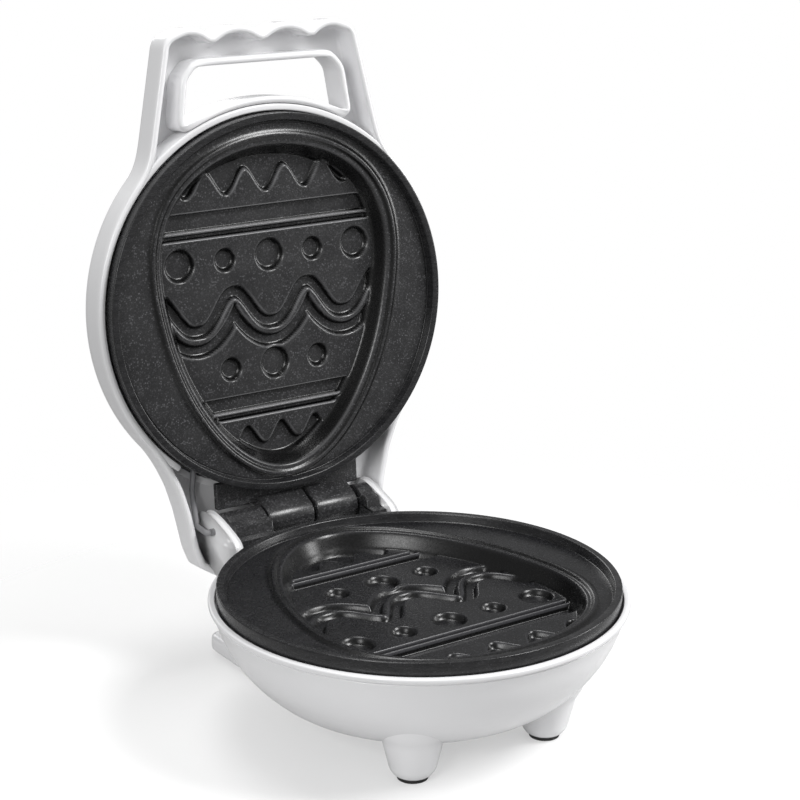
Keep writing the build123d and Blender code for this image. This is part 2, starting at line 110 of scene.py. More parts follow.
def grid_faces(rows, columns, wrap_rows=False, wrap_columns=False, flip=False):
    """The four-sided faces of a grid of points, joined round where it wraps."""
    i = np.arange(rows if wrap_rows else rows - 1)
    j = np.arange(columns if wrap_columns else columns - 1)
    a, b = np.meshgrid(i, j, indexing="ij")
    a2, b2 = (a + 1) % rows, (b + 1) % columns
    quads = np.stack([a * columns + b, a * columns + b2, a2 * columns + b2, a2 * columns + b], -1)
    quads = quads.reshape(-1, 4)
    return quads[:, ::-1] if flip else quads


def spun(profile, count, centre=(0, 0)):
    """A (radius, height) profile spun round: x = cx + r cos a, y = cy + r sin a, z = h."""
    profile = np.asarray(profile, float)
    angle = np.linspace(0, 2 * np.pi, count, endpoint=False)
    r, h = profile[:, 0][:, None], profile[:, 1][:, None]
    points = np.stack([centre[0] + r * np.cos(angle), centre[1] + r * np.sin(angle), h + 0 * angle], -1)
    return points, grid_faces(len(profile), count, wrap_columns=True)


def rounded(corners, radius, steps=6):
    """A row of corners with each inner one replaced by a small arc-like curve.

    Each arc is the quadratic curve (1-t)^2 A + 2t(1-t) C + t^2 B from a point A before the
    corner C to a point B after it, both at the given distance or at half the side's length.
    """
    corners = np.asarray(corners, float)
    out = [corners[:1]]
    t = np.linspace(0, 1, steps)[:, None]
    for before, corner, after in zip(corners[:-2], corners[1:-1], corners[2:]):
        a, b = before - corner, after - corner
        la, lb = np.linalg.norm(a), np.linalg.norm(b)
        first = corner + a / la * min(radius, la / 2)
        last = corner + b / lb * min(radius, lb / 2)
        out.append((1 - t) ** 2 * first + 2 * t * (1 - t) * corner + t ** 2 * last)
    out.append(corners[-1:])
    return np.concatenate(out)


# the mould's shape

def loop_distance(points, loop):
    """Distance from points to the nearest place on a closed row of points."""
    flat = points.reshape(-1, 2)
    side = np.roll(loop, -1, 0) - loop
    length = (side ** 2).sum(-1)
    best = np.empty(len(flat))
    for start in range(0, len(flat), 2500):
        part = flat[start:start + 2500]
        near = ((part[:, None] - loop[None]) ** 2).sum(-1).argmin(1)
        found = np.full(len(part), 1e9)
        for shift in (-1, 0):
            k = (near + shift) % len(loop)
            t = np.clip(((part - loop[k]) * side[k]).sum(-1) / length[k], 0, 1)
            found = np.minimum(found, np.linalg.norm(part - loop[k] - t[:, None] * side[k], axis=1))
        best[start:start + 2500] = found
    return best.reshape(points.shape[:-1])


def egg_side(along):
    """Half width of the egg at a place along its length from -1 to 1."""
    fullness = np.clip(1 - np.abs(along) ** EGG_FULLNESS, 0, None)
    return EGG_HALF_WIDTH * np.sqrt(fullness) * (1 - EGG_TAPER * along)


def egg_outline(count=900):
    """Points round the egg: along = -cos a, x = side of along with the sign of sin a."""
    a = np.linspace(0, 2 * np.pi, count, endpoint=False)
    along = -np.cos(a)
    return np.stack([np.sign(np.sin(a)) * egg_side(along), EGG_MIDDLE + EGG_HALF_LENGTH * along], -1)


def egg_distance(x, y):
    """Distance from points to the egg outline, positive inside."""
    along = (y - EGG_MIDDLE) / EGG_HALF_LENGTH
    inside = np.abs(x) < egg_side(np.clip(along, -1, 1)) * (np.abs(along) < 1)
    return np.where(inside, 1, -1) * loop_distance(np.stack([x, y], -1), egg_outline())


def ease(value, low, high):
    """A smooth step from 0 to 1: 3t^2 - 2t^3 between two values."""
    t = np.clip((value - low) / (high - low), 0, 1)
    return t * t * (3 - 2 * t)


def waves(x, pitch, first, low, high, sharp):
    """A row of humps: low + (high - low) times (half plus half cosine) to a power."""
    turn = 0.5 + 0.5 * np.cos(2 * np.pi * (x - first) / pitch)
    return low + (high - low) * turn ** sharp


def sunk(distance, wall=1.2):
    """How far a mark is sunk, 0 to 1, from the distance inside its edge."""
    return ease(distance, -wall / 2, wall / 2)


def slope_of(function, x):
    """Length factor that turns a height above a curve into a distance from it."""
    return np.sqrt(1 + ((function(x + 0.01) - function(x - 0.01)) / 0.02) ** 2)


def relief(x, y):
    """Depth share of the decoration: bands, dots, double ribbon and the two wavy ends."""
    crest = lambda v: waves(v, 14.0, 7.0, -34.9, -42.2, 1.1)
    marks = [sunk((crest(x) - y) / slope_of(crest, x))]
    for front, rear in BANDS:
        marks.append(sunk(np.minimum(y - front, rear - y), 0.8))
        marks.append(sunk(np.minimum(y - rear - LINE_GAP, rear + LINE_END - y), 0.8))
    dot_step, small_dot, large_dot = 15.8, 3.3, 4.7
    for row, reach in ((-14.8, 2), (19.5, 1)):
        for step in range(-reach, reach + 1):
            radius = small_dot if step % 2 else large_dot
            marks.append(sunk(radius - np.hypot(x - dot_step * step, y - row), 1.5))
    half_pitch, half_ribbon = 13.25, 1.75
    upper = lambda v: waves(v, 2 * half_pitch, half_pitch, 5.2, -5.6, 1.25)
    marks.append(sunk(half_ribbon - np.abs(y - upper(x) - 1.2) / slope_of(upper, x), 1.2))
    swing, power = 9.8, 2.1
    reach = np.abs((x + half_pitch) % (2 * half_pitch) - half_pitch) / half_pitch
    bottom = 14.2 - swing * reach ** power
    lean = np.sqrt(1 + (power * swing / half_pitch * reach ** (power - 1)) ** 2)
    marks.append(sunk(half_ribbon - np.abs(y - bottom + 1.9) / lean, 1.2))
    tips = lambda v: waves(v, 12.3, 1.2, 44.6, 38.6, 1.1)
    marks.append(sunk((y - tips(x)) / slope_of(tips, x)))
    return np.max(marks, axis=0)


def mould_depth_at(x, y):
    """Depth of the mould face under the rim: land, double bead, sloping wall, floor, marks."""
    inside = egg_distance(x, y)
    wall_end, floor_depth, limit = 4.9, 7.3, 60
    places = [-limit, -2.4, -1.5, -0.5, 0.3, 1.0, 1.35, 1.9, 2.4, 2.9, wall_end, limit]
    depths = [LAND_DEPTH, LAND_DEPTH, 2.35, 1.65, 1.65, 2.3, 2.5, 2.35, 2.5, 3.3, floor_depth, floor_depth]
    table = np.linspace(-limit, limit, 6001)
    line = np.interp(table, places, depths)
    bell = np.exp(-0.5 * (np.arange(-40, 41) / 9.0) ** 2)
    line = np.convolve(np.pad(line, 40, mode="edge"), bell / bell.sum(), mode="valid")
    depth = np.interp(inside, table, line)
    return depth + RELIEF_DEPTH * relief(x, y) * ease(inside, wall_end, 6.2)


def disc_grid(radius, count):
    """A square grid bent into a disc: x = u sqrt(1 - v^2/2), y = v sqrt(1 - u^2/2)."""
    side = np.linspace(-1, 1, count)
    u, v = np.meshgrid(side, side, indexing="ij")
    return radius * u * np.sqrt(1 - v * v / 2), radius * v * np.sqrt(1 - u * u / 2)


def face_grid(radius, rows, columns):
    """A disc of level rows, closer together at the bands' edges: x = u sqrt(radius^2 - y^2).

    The rows' places come from the running sum of 1 + 3 exp(-((y - edge) / 0.8)^2) over the edges.
    """
    fine = np.linspace(-radius, radius, 8001)
    edges = np.array([edge for front, rear in BANDS
                      for edge in (front, rear, rear + LINE_GAP, rear + LINE_END)])
    weight = 1 + 3 * np.exp(-((fine[:, None] - edges) / 0.8) ** 2).sum(1)
    total = np.cumsum(weight)
    y = np.interp(np.linspace(total[0], total[-1], rows), total, fine)
    half = np.sqrt(np.clip(radius ** 2 - y ** 2, 0.01, None))
    u = np.linspace(-1, 1, columns)
    return half[:, None] * u, np.broadcast_to(y[:, None], (rows, columns)).copy()


def slope_and_edge(x, y, depth):
    """Two masks, 0 to 1, for painted light: how steep the face is, where walls get painted shade, and how
    sharply it bulges, where edges get a painted highlight.

    The slope is the length of the depth's gradient, and the bulge is the sum of its second
    derivatives. Along a row dx = half width times du, and across rows the slide of x is taken off.
    """
    rows, u = y[:, 0], x[0] / x[0, -1]
    half = x[:, -1:]
    widening = np.gradient(half[:, 0], rows)[:, None]

    def across(value):
        return np.gradient(value, u, axis=1) / half

    def along(value):
        return np.gradient(value, rows, axis=0) - widening * u * across(value)

    gx, gy = across(depth), along(depth)
    bulge = across(gx) + along(gy)
    inner = np.hypot(x, y) < 54.6
    return (np.clip(2 * np.hypot(gx, gy) - 0.3, 0, 1) * inner,
            np.clip(bulge / 3.4 - 0.3, 0, 1) * inner)


def mould_face():
    """The fine face of a mould and a plain back for it, in the lower plate's place."""
    radius = PLATE_RADIUS - 3.3
    x, y = face_grid(radius, rows=310, columns=280)
    depth = mould_depth_at(x, y)
    slope, edge = slope_and_edge(x, y, depth)
    face = np.stack([x, y, RIM_HEIGHT - depth], -1)
    faces = grid_faces(*x.shape, flip=True)
    side = 70
    xb, yb = disc_grid(radius, side)
    land_back, mould_drop = 5.4, 5.0
    back_depth = land_back + mould_drop * ease(egg_distance(xb, yb), -3.0, 2.0)
    back = np.stack([xb, yb, RIM_HEIGHT - back_depth], -1)
    points = np.concatenate([face.reshape(-1, 3), back.reshape(-1, 3)])
    back_faces = grid_faces(side, side, flip=True) + x.size
    # the slope mask paints shade on steep walls and the edge mask paints highlights on bulging edges of the
    # coating
    masks = {"slope": np.concatenate([slope.ravel(), np.zeros(xb.size)]),
             "edge": np.concatenate([edge.ravel(), np.zeros(xb.size)])}
    return points, np.concatenate([faces, back_faces]), masks


def rim_ring():
    """The plate's raised rim: inner slope, rounded top, streaked outer band, under edge."""
    land = RIM_HEIGHT - LAND_DEPTH
    r, inner, under = PLATE_RADIUS, PLATE_RADIUS - 3.6, land - 3.0
    corners = [(inner, under), (inner, land), (r - 2.75, land - 0.25), (r - 2.2, RIM_HEIGHT),
               (r, RIM_HEIGHT), (r, land - 1.6), (r - 1.4, under), (inner, under)]
    return spun(rounded(corners, 0.4)[:-1], 240)


def carried(outline, x_low, x_high, edge, steps=4):
    """A closed (y, z) outline carried along X, its end edges rounded.

    Each ring is the outline moved inwards by edge (1 - sin a) at x = end -+ edge (1 - cos a),
    and the middle of each end is closed by a fan to the outline's centre.
    """
    outline = np.asarray(outline, float)
    ahead, behind = np.roll(outline, -1, 0), np.roll(outline, 1, 0)
    run = (ahead - behind) / np.linalg.norm(ahead - behind, axis=1)[:, None]
    inward = np.stack([-run[:, 1], run[:, 0]], -1)
    a = np.linspace(0, np.pi / 2, steps)
    inset = edge * (1 - np.sin(a))
    reach = edge * (1 - np.cos(a))
    x = np.concatenate([x_low + reach, x_high - reach[::-1]])
    inset = np.concatenate([inset, inset[::-1]])
    rings = outline[None] + inward[None] * inset[:, None, None]
    points = np.concatenate([np.broadcast_to(x[:, None, None], rings.shape[:2] + (1,)), rings], -1)
    rows, columns = points.shape[:2]
    faces = [list(face) for face in grid_faces(rows, columns, wrap_columns=True, flip=True)]
    middle = outline.mean(0)
    ends = np.array([[x_low, *middle], [x_high, *middle]])
    count = rows * columns
    j = np.arange(columns)
    after = (j + 1) % columns
    faces += np.stack([j * 0 + count, after, j], -1).tolist()
    faces += np.stack([j * 0 + count + 1, j + count - columns, after + count - columns], -1).tolist()
    return np.concatenate([points.reshape(-1, 3), ends]), faces


def arc(centre, radius, start, end, steps):
    """Points on a circle's arc, its angles in degrees: centre + radius (cos a, sin a)."""
    a = np.radians(np.linspace(start, end, steps))
    return np.stack([centre[0] + radius * np.cos(a), centre[1] + radius * np.sin(a)], -1)


# finishes

def put(tree, kind, inputs=None, **settings):
    """Adds a node and fills its inputs with values or with other nodes' outputs."""
    node = tree.nodes.new(kind)
    for key, value in settings.items():
        setattr(node, key, value)
    for key, value in (inputs or {}).items():
        if isinstance(value, bpy.types.NodeSocket):
            tree.links.new(value, node.inputs[key])
        else:
            node.inputs[key].default_value = value
    return node


def new_group(name, inputs, outputs):
    """An empty node group with float or vector sockets, and its two end nodes."""
    tree = bpy.data.node_groups.new(name, "ShaderNodeTree")
    for label, kind, value in inputs:
        socket = tree.interface.new_socket(label, in_out="INPUT", socket_type=kind)
        if value is not None:
            socket.default_value = value
    for label, kind in outputs:
        tree.interface.new_socket(label, in_out="OUTPUT", socket_type=kind)
    return tree, put(tree, "NodeGroupInput"), put(tree, "NodeGroupOutput")


FLOAT, VECTOR = "NodeSocketFloat", "NodeSocketVector"


def drift_group():
    """Soft irregular variation: stretched noise on object coordinates, set between two values."""
    tree, given, result = new_group(
        "drift", [("Scale", FLOAT, 40.0), ("Stretch", VECTOR, (1, 1, 1)), ("Low", FLOAT, 0.0),
                  ("High", FLOAT, 1.0)], [("Value", FLOAT)])
    place = put(tree, "ShaderNodeTexCoord")
    spread = put(tree, "ShaderNodeVectorMath", {0: place.outputs["Object"], 1: given.outputs["Stretch"]},
                 operation="MULTIPLY")
    noise = put(tree, "ShaderNodeTexNoise", {
        "Vector": spread.outputs[0], "Scale": given.outputs["Scale"], "Detail": 3.0})
    ranged = put(tree, "ShaderNodeMapRange", {
        "Value": noise.outputs["Fac"], "From Min": 0.3, "From Max": 0.7,
        "To Min": given.outputs["Low"], "To Max": given.outputs["High"]})
    tree.links.new(ranged.outputs["Result"], result.inputs["Value"])
    return tree


def fleck_group():
    """Small separate flecks: cells of a point pattern, a share of them lit, fading from the middle."""
    tree, given, result = new_group(
        "flecks", [("Scale", FLOAT, 2200.0), ("Share", FLOAT, 0.3), ("Size", FLOAT, 0.4)], [("Mask", FLOAT)])
    place = put(tree, "ShaderNodeTexCoord")
    cells = put(tree, "ShaderNodeTexVoronoi", {"Vector": place.outputs["Object"],
                                               "Scale": given.outputs["Scale"]})
    split = put(tree, "ShaderNodeSeparateXYZ", {0: cells.outputs["Color"]})
    lit = put(tree, "ShaderNodeMath", {0: split.outputs["X"], 1: given.outputs["Share"]},
              operation="LESS_THAN")
    core = put(tree, "ShaderNodeMapRange", {"Value": cells.outputs["Distance"], "From Min": 0.0,
                                            "From Max": given.outputs["Size"], "To Min": 1.0, "To Max": 0.0})
    strength = put(tree, "ShaderNodeMath", {0: split.outputs["Y"], 1: core.outputs["Result"]},
                   operation="MULTIPLY")
    mask = put(tree, "ShaderNodeMath", {0: lit.outputs[0], 1: strength.outputs[0]}, operation="MULTIPLY")
    tree.links.new(mask.outputs[0], result.inputs["Mask"])
    return tree


def painted_light_group():
    """The masks for painted light on a mould face: painted shade on steep walls and painted highlights on
    bulging edges, each with a strength.
    """
    tree, given, result = new_group(
        "painted wall shade and edge highlights", [("Wall", FLOAT, 0.8), ("Edge", FLOAT, 0.5)], [("Wall", FLOAT), ("Edge", FLOAT)])
    for label in ("Wall", "Edge"):
        stored = put(tree, "ShaderNodeAttribute", attribute_name={"Wall": "slope", "Edge": "edge"}[label])
        scaled = put(tree, "ShaderNodeMath", {0: stored.outputs["Fac"], 1: given.outputs[label]},
                     operation="MULTIPLY")
        tree.links.new(scaled.outputs[0], result.inputs[label])
    return tree


DRIFT, FLECKS, PAINTED_LIGHT_MASKS = drift_group(), fleck_group(), painted_light_group()
# near black painted as shade on steep mould walls
PAINTED_SHADE_BLACK = (0.0015, 0.0015, 0.0016)


def use(tree, group, **values):
    """Adds a group to a material with its values set by name, such as scale for Scale."""
    node = put(tree, "ShaderNodeGroup", node_tree=group)
    for label, value in values.items():
        node.inputs[label.title()].default_value = value
    return node


def finish(name, dark, light, roughness, tone_scale=60, rough_scale=300, bump=None, metallic=0.0,
           flecks=None, stretch=(1, 1, 1), specular=0.5, walls=None):
    """A material whose colour drifts between two tones and whose roughness drifts as well.

    A bump is a noise scale, a depth in metres and a strength.
    """
    material = bpy.data.materials.new(name)
    material.use_nodes = True
    tree = material.node_tree
    shader = next(node for node in tree.nodes if node.type == "BSDF_PRINCIPLED")
    shader.inputs["Metallic"].default_value = metallic
    shader.inputs["Specular IOR Level"].default_value = specular
    tone = use(tree, DRIFT, scale=tone_scale, stretch=stretch)
    mixed = put(tree, "ShaderNodeMix", {0: tone.outputs[0], 6: (*dark, 1), 7: (*light, 1)}, data_type="RGBA")
    colour = mixed.outputs[2]
    if flecks:
        spots = use(tree, FLECKS, scale=flecks["scale"], share=flecks["share"], size=flecks["size"])
        over = put(tree, "ShaderNodeMix", {0: spots.outputs[0], 6: colour, 7: (*flecks["colour"], 1)},
                   data_type="RGBA")
        colour = over.outputs[2]
    # walls paints shade near black on steep walls and a highlight colour on bulging edges, from the face's
    # stored masks
    if walls:
        form = use(tree, PAINTED_LIGHT_MASKS, wall=walls["wall"], edge=walls["edge"])
        painted_wall_shade = put(tree, "ShaderNodeMix", {
            0: form.outputs["Wall"], 6: colour, 7: (*PAINTED_SHADE_BLACK, 1)}, data_type="RGBA")
        painted_edge_highlight = put(tree, "ShaderNodeMix", {
            0: form.outputs["Edge"], 6: painted_wall_shade.outputs[2], 7: (*walls["painted_highlight_colour"], 1)}, data_type="RGBA")
        colour = painted_edge_highlight.outputs[2]
    tree.links.new(colour, shader.inputs["Base Color"])
    rough = use(tree, DRIFT, scale=rough_scale, stretch=stretch, low=roughness[0], high=roughness[1])
    tree.links.new(rough.outputs[0], shader.inputs["Roughness"])
    if bump:
        scale, depth, strength = bump
        height = use(tree, DRIFT, scale=scale, stretch=stretch)
        grain = put(tree, "ShaderNodeBump", {
            "Strength": strength, "Distance": depth, "Height": height.outputs[0]})
        tree.links.new(grain.outputs[0], shader.inputs["Normal"])
    return material


white_plastic = finish("glossy white plastic", (0.80, 0.80, 0.81), (0.83, 0.83, 0.84), (0.16, 0.24),
                       tone_scale=12, rough_scale=90, bump=(160, 0.00004, 0.25))
# the walls settings paint shade on steep mould walls and a highlight colour on bulging edges, weaker on the
# satin lower plate
coating = finish("speckled non-stick coating", (0.020, 0.020, 0.021), (0.032, 0.032, 0.033), (0.22, 0.32),
                 tone_scale=120, rough_scale=1800, bump=(2400, 0.000018, 0.5),
                 flecks={"scale": 1900, "share": 0.5, "size": 0.55, "colour": (0.19, 0.19, 0.20)},
                 walls={"wall": 0.97, "edge": 0.55, "painted_highlight_colour": (0.34, 0.34, 0.35)})
satin_coating = finish("satin non-stick coating", (0.006, 0.006, 0.007), (0.011, 0.011, 0.012), (0.24, 0.34),
                       tone_scale=120, rough_scale=1500, bump=(2000, 0.00001, 0.3),
                       flecks={"scale": 2500, "share": 0.35, "size": 0.5, "colour": (0.09, 0.09, 0.10)},
                       walls={"wall": 0.9, "edge": 0.4, "painted_highlight_colour": (0.12, 0.12, 0.13)})
turned_rim = finish("turned and coated rim", (0.010, 0.010, 0.011), (0.024, 0.024, 0.025), (0.20, 0.32),
                    tone_scale=240, rough_scale=700, bump=(900, 0.000008, 0.3), stretch=(1, 1, 5),
                    flecks={"scale": 2600, "share": 0.25, "size": 0.5, "colour": (0.10, 0.10, 0.11)})
bare_steel = finish("plated steel", (0.42, 0.42, 0.43), (0.56, 0.56, 0.57), (0.24, 0.38), metallic=1.0)
sheet_steel = finish("aluminised sheet", (0.48, 0.48, 0.48), (0.60, 0.60, 0.60), (0.32, 0.5), metallic=1.0)
sheath = finish("oxidised heater sheath", (0.10, 0.085, 0.07), (0.22, 0.20, 0.18), (0.4, 0.6), metallic=0.8)
rubber = finish("black rubber", (0.012, 0.012, 0.012), (0.024, 0.024, 0.024), (0.62, 0.78),
                bump=(900, 0.00004, 0.4))
ceramic = finish("fired ceramic", (0.62, 0.58, 0.50), (0.72, 0.69, 0.62), (0.5, 0.65),
                 bump=(700, 0.00005, 0.4))
phenolic = finish("brown moulded resin", (0.09, 0.045, 0.025), (0.13, 0.07, 0.04), (0.35, 0.5))
sleeve = finish("woven glass sleeve", (0.55, 0.54, 0.50), (0.72, 0.71, 0.68), (0.7, 0.85),
                bump=(1500, 0.0001, 0.6))
lead_skin = finish("grey glass-fibre lead", (0.20, 0.20, 0.21), (0.30, 0.30, 0.31), (0.55, 0.7))

finish_of = {
    "shell": white_plastic, "plate": coating, "element": sheath, "shield": sheet_steel,
    "bracket": sheet_steel, "thermostat": phenolic, "fuse": sleeve, "terminal": ceramic,
    "gland": rubber, "pad": rubber, "pin": bare_steel, "screw": bare_steel, "lead": lead_skin,
    "plug": white_plastic,
}
for name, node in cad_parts.items():
    words = [word for word in name.split("_") if word in finish_of]
    chosen = "bracket" if "bracket" in words else words[-1]
    node.data.materials.clear()
    node.data.materials.append(finish_of[chosen])


# plates

def plate_pieces():
    """The mould faces and raised rims of both castings."""
    face, faces, masks = mould_face()
    rim, rim_faces = rim_ring()
    for side, body, mould_skin in (("lower", "base", satin_coating), ("upper", "lid", coating)):
        for label, points, quads, skin, sharp in (("mould", face, faces, mould_skin, None),
                                                  ("rim", rim, rim_faces, turned_rim, 60)):
            placed = points if side == "lower" else opened(mirrored(points))
            order = quads if side == "lower" else quads[:, ::-1]
            piece = new_piece(f"{side}_{label}", placed, order, skin, body, sharp=sharp)
            # masks for the painted wall shade and painted edge highlights
            for mask, values in masks.items() if label == "mould" else ():
                piece.data.attributes.new(mask, "FLOAT", "POINT").data.foreach_set("value", values)
            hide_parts(f"{side}_plate")


def knuckle(name, x_low, x_high, outline, body):
    """A cast piece beside the hinge axis or round it, its side outline carried along X."""
    points, faces = carried(outline, x_low, x_high, edge=0.5)
    placed = opened(points) if body == "lid" else points
    piece = new_piece(name, placed, faces, coating, body, sharp=45)
    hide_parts("upper_plate" if body == "lid" else "lower_plate")


plate_pieces()
barrel = arc((HINGE_Y, HINGE_Z), BARREL_RADIUS, 115, -160, 48)
barrel_outline = np.concatenate([
    [(60.5, PARTING + 2.6), (60.5, PARTING + 6.2), (63.4, PARTING + 6.2)], barrel])
lug_arc = arc((HINGE_Y, HINGE_Z), LUG_RADIUS, 130, -90, 40)
lug_outline = np.concatenate([
    [(56.0, 40.2), (56.0, 43.3), (59.4, 43.3), (59.9, 46.3), (61.4, 46.9), (63.2, 47.0)], lug_arc])
for number, (x_low, x_high) in enumerate(BARRELS, 1):
    knuckle(f"lid_barrel_{number}", x_low, x_high, barrel_outline[::-1], "lid")
for label, x_low, x_high in LUGS:
    knuckle(f"{label}_lug", x_low, x_high, lug_outline[::-1], "base")
apron_low, apron_high = 47.65, 49.9
apron_outline = rounded([(56, apron_low), (62.4, apron_low), (62.4, apron_high), (54, apron_high),
                         (54, apron_low), (56, apron_low)], 0.5)
knuckle("apron", -APRON_HALF_WIDTH, APRON_HALF_WIDTH, apron_outline[:-1], "lid")


# shells

def through(start, middle, end, steps=24):
    """Points on the circle through three points, found from its centre and two angles."""
    (ax, ay), (bx, by), (cx, cy) = start, middle, end
    d = 2 * (ax * (by - cy) + bx * (cy - ay) + cx * (ay - by))
    a2, b2, c2 = ax * ax + ay * ay, bx * bx + by * by, cx * cx + cy * cy
    ux = (a2 * (by - cy) + b2 * (cy - ay) + c2 * (ay - by)) / d
    uy = (a2 * (cx - bx) + b2 * (ax - cx) + c2 * (bx - ax)) / d
    first = math.atan2(ay - uy, ax - ux)
    turn = (math.atan2(cy - uy, cx - ux) - first + math.pi) % (2 * math.pi) - math.pi
    a = first + turn * np.linspace(0, 1, steps)
    radius = math.hypot(ax - ux, ay - uy)
    return np.stack([ux + radius * np.cos(a), uy + radius * np.sin(a)], -1)


def evenly(loop, count):
    """A closed row of points laid out again at equal steps along its length."""
    closed = np.concatenate([loop, loop[:1]])
    length = np.concatenate([[0], np.cumsum(np.linalg.norm(np.diff(closed, axis=0), axis=1))])
    keep = np.concatenate([[True], np.diff(length) > 1e-9])
    at = np.linspace(0, length[-1], count, endpoint=False)
    return np.stack([np.interp(at, length[keep], closed[keep, k]) for k in (0, 1)], -1)


def softened(loop, reach):
    """A closed even row of points blurred along itself: each wave fades by exp(-2 (pi f reach)^2)."""
    step = np.linalg.norm(loop[1] - loop[0])
    wave = np.fft.fftfreq(len(loop), d=step)
    fade = np.exp(-2 * (np.pi * wave * reach) ** 2)
    line = np.fft.ifft(np.fft.fft(loop[:, 0] + 1j * loop[:, 1]) * fade)
    return np.stack([line.real, line.imag], -1)


def both_sides(half):
    """A right-hand half outline, front to rear, closed with its mirror image."""
    return np.concatenate([half, half[::-1] * [-1, 1]])


def lid_outline(count=540):
    """The shut lid's outline: wavy handle, round dome and narrowing heel, blended at their meetings."""
    half = np.concatenate([
        through((0, -82.3), (8.7, -85.4), (17.4, -82.3)),
        through((17.4, -82.3), (24.2, -85.4), (29.5, -84.3)),
        through((29.5, -84.3), (32.9, -82.4), (34.2, -79.4)),
        np.linspace((34.2, -79.4), (41.7, -45.2), 40),
        arc((0, 0), SHELL_RADIUS, -46.6, 41.9, 80),
        np.array([(42.4, 46.5), (39.6, 53.0), (37.2, 62.0), (35.0, 74.0), (33.0, 79.6), (28.0, 83.2)]),
    ])
    fine = evenly(both_sides(half), 4000)
    crisp, soft = softened(fine, 0.55), softened(fine, 4.0)
    meetings = ((42.5, -44.5), (45.0, 42.0))
    near = np.min([np.hypot(np.abs(fine[:, 0]) - x, fine[:, 1] - y) for x, y in meetings], 0)
    share = (1 - ease(near, 7, 17))[:, None]
    return evenly(crisp * (1 - share) + soft * share, count)


def hole_outline():
    """The finger hole: a flat top, leaning ends and a lower side that follows the round lid."""
    half = np.concatenate([
        np.array([(0, -74.0), (12, -74.0), (23.2, -74.0), (26.7, -70.2), (28.6, -56.8)]),
        arc((0, 0), 63.6, -63.3, -90, 30),
    ])
    return softened(evenly(both_sides(half), 1500), 1.0)


def moved_in(loop, distance):
    """A closed row of points moved to its left by a distance, along its own normals."""
    run = np.roll(loop, -1, 0) - np.roll(loop, 1, 0)
    run /= np.linalg.norm(run, axis=1)[:, None]
    return loop + distance * np.stack([-run[:, 1], run[:, 0]], -1)


def dome_height(r):
    """Height of the dome over its axis distance, its corners softened with a bell curve."""
    radii = [0, 30, 44, 52, 57.8, 60.4, 61.3, 61.6, 75]
    heights = [68.0, 67.7, 66.8, 65.2, 62.4, 59.2, 56.1, 50.0, 40.0]
    table = np.linspace(0, 75, 1501)
    line = np.interp(table, radii, heights)
    bell = np.exp(-0.5 * (np.arange(-60, 61) / 16.0) ** 2)
    line = np.convolve(np.pad(line, 60, mode="reflect"), bell / bell.sum(), mode="valid")
    return np.interp(r, table, line)


def roundover(distance, radius):
    """Drop of a rounded edge: radius - sqrt(radius^2 - (radius - distance)^2) inside its radius."""
    inside = np.clip(radius - distance, 0, radius)
    return radius - np.sqrt(np.clip(radius ** 2 - inside ** 2, 0, None))


def larger(a, b, blend):
    """The larger of two heights, with a smooth join: mean + half root of gap^2 + blend^2."""
    return (a + b) / 2 + np.sqrt((a - b) ** 2 + blend ** 2) / 2


def lid_shell_surface():
    """The lid shell as one closed surface, run from the finger hole over the back and in again.

    Each column starts at the hole and goes along a ray to the outline. Its rows climb over the
    back, go down the outer wall, round the lip, up inside, along the ceiling and down round the
    frame of the hole. The back's height is the smooth larger of dome and handle, less a
    roundover at the outline and at the hole.
    """
    outer = lid_outline()
    hole_line = hole_outline()
    toward = outer - HOLE_MIDDLE
    angle = np.arctan2(toward[:, 1], toward[:, 0])

    def at_angle(line):
        spoke = line - HOLE_MIDDLE
        turn = np.arctan2(spoke[:, 1], spoke[:, 0])
        order = np.argsort(turn)
        far = np.interp(angle, turn[order], np.linalg.norm(spoke, axis=1)[order], period=2 * np.pi)
        return HOLE_MIDDLE + far[:, None] * np.stack([np.cos(angle), np.sin(angle)], -1)

    inner = softened(moved_in(outer, SHELL_WALL), 0.5)
    hole = at_angle(hole_line)
    frame_side = at_angle(moved_in(hole_line, -SHELL_WALL))

    def plain_back(xy):
        return larger(dome_height(np.linalg.norm(xy, axis=-1)), HANDLE_BACK, 1.2) - 0.02

    def back(xy):
        drop = roundover(loop_distance(xy, outer), 2.8) + roundover(loop_distance(xy, hole_line), 1.6)
        return plain_back(xy) - drop

    def run(start, end, rows):
        f = (0.5 - 0.5 * np.cos(np.linspace(0, np.pi, rows)))[:, None, None]
        return start[None] * (1 - f) + end[None] * f

    def with_height(xy, z):
        return np.concatenate([xy, np.broadcast_to(z, xy.shape[:-1])[..., None]], -1)

    def lip(start, end):
        a = np.linspace(0, np.pi, 9)[:, None, None]
        middle, half = (start + end)[None] / 2, (start - end)[None] / 2
        radius = SHELL_WALL / 2
        return with_height(middle + half * np.cos(a), LID_RIM + radius - radius * np.sin(a[..., 0]))

    def wall(line, start, end):
        return with_height(np.repeat(line[None], 3, 0), np.linspace(start, end, 5)[1:4])

    over = run(hole, outer, 74)
    top = back(over)
    ceiling = run(inner, frame_side, 46)
    under = plain_back(ceiling) - SHELL_WALL
    under -= roundover(loop_distance(ceiling, inner), 1.2) * (loop_distance(ceiling, inner) < 1.2)
    lip_top = np.full(len(outer), LID_RIM + SHELL_WALL / 2)
    parts = [
        with_height(over, top), wall(outer, top[-1], lip_top),
        lip(outer, inner), wall(inner, lip_top, under[0]),
        with_height(ceiling, under), wall(frame_side, under[-1], lip_top),
        lip(frame_side, hole), wall(hole, lip_top, top[0]),
    ]
    points = np.concatenate(parts)
    return points, grid_faces(*points.shape[:2], wrap_rows=True, wrap_columns=True)


